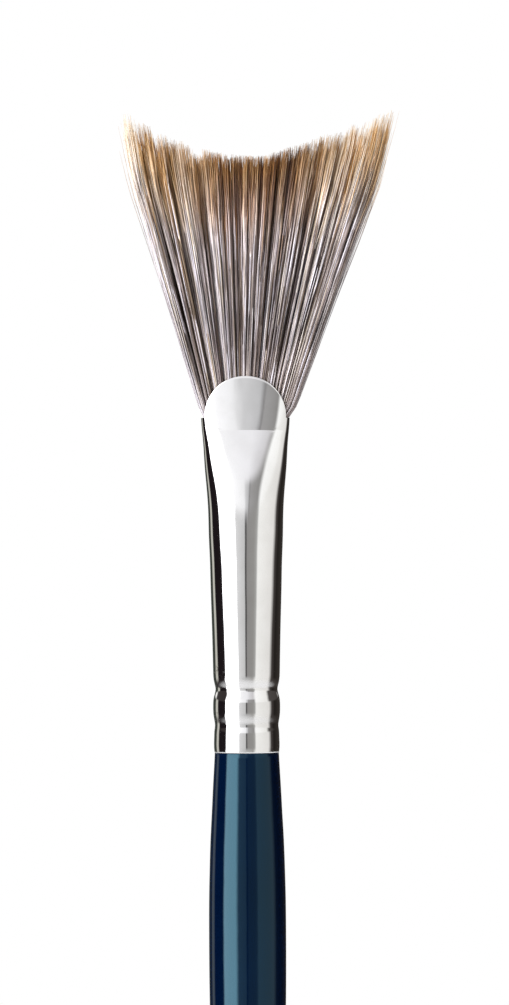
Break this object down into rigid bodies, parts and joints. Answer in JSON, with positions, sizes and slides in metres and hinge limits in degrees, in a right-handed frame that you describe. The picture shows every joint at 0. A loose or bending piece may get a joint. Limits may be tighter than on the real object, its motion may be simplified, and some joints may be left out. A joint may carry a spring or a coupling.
{
  "type": "fan paint brush",
  "caption": "Artist's fan brush with a lacquered tapered handle, a pressed metal ferrule and a flat spread of soft hair that bends in two stages.",
  "frame": {"origin": "centre of the small flat at the tail of the handle", "axes": "+Z along the brush from the tail to the hair, X across the width of the fan, Y through its thickness"},
  "size_m": [0.0303, 0.0084, 0.1943],
  "materials": {
    "wood": "matte",
    "lacquer": "gloss",
    "nickel": "polished",
    "glue": "satin",
    "resin": "gloss",
    "thread": "matte",
    "hair_root": "satin",
    "hair_belly": "satin",
    "hair_toe": "satin"
  },
  "bodies": {
    "handle": {"handle_core": "wood", "handle_lacquer": "lacquer", "ferrule": "nickel", "ferrule_glue": "glue", "root_resin": "resin", "binding_thread": "thread", "hair_roots": "hair_root"},
    "hair_belly": {"belly_lock_01": "hair_belly", "belly_lock_02": "hair_belly", "belly_lock_03": "hair_belly", "belly_lock_04": "hair_belly", "belly_lock_05": "hair_belly", "belly_lock_06": "hair_belly", "belly_lock_07": "hair_belly", "belly_lock_08": "hair_belly", "belly_lock_09": "hair_belly", "belly_lock_10": "hair_belly", "belly_lock_11": "hair_belly", "belly_lock_12": "hair_belly", "belly_lock_13": "hair_belly"},
    "hair_toe": {"toe_lock_01": "hair_toe", "toe_lock_02": "hair_toe", "toe_lock_03": "hair_toe", "toe_lock_04": "hair_toe", "toe_lock_05": "hair_toe", "toe_lock_06": "hair_toe", "toe_lock_07": "hair_toe", "toe_lock_08": "hair_toe", "toe_lock_09": "hair_toe", "toe_lock_10": "hair_toe", "toe_lock_11": "hair_toe", "toe_lock_12": "hair_toe", "toe_lock_13": "hair_toe"}
  },
  "joints": [
    {"name": "belly_flex", "type": "hinge", "parent": "handle", "child": "hair_belly", "pos_m": [0, 0, 0.1668], "axis": [1, 0, 0], "range_deg": [-35, 35], "stiffness_Nm_per_rad": 0.0015},
    {"name": "toe_flex", "type": "hinge", "parent": "hair_belly", "child": "hair_toe", "pos_m": [0, 0, 0.178], "axis": [1, 0, 0], "range_deg": [-35, 35], "stiffness_Nm_per_rad": 0.0006}
  ]
}
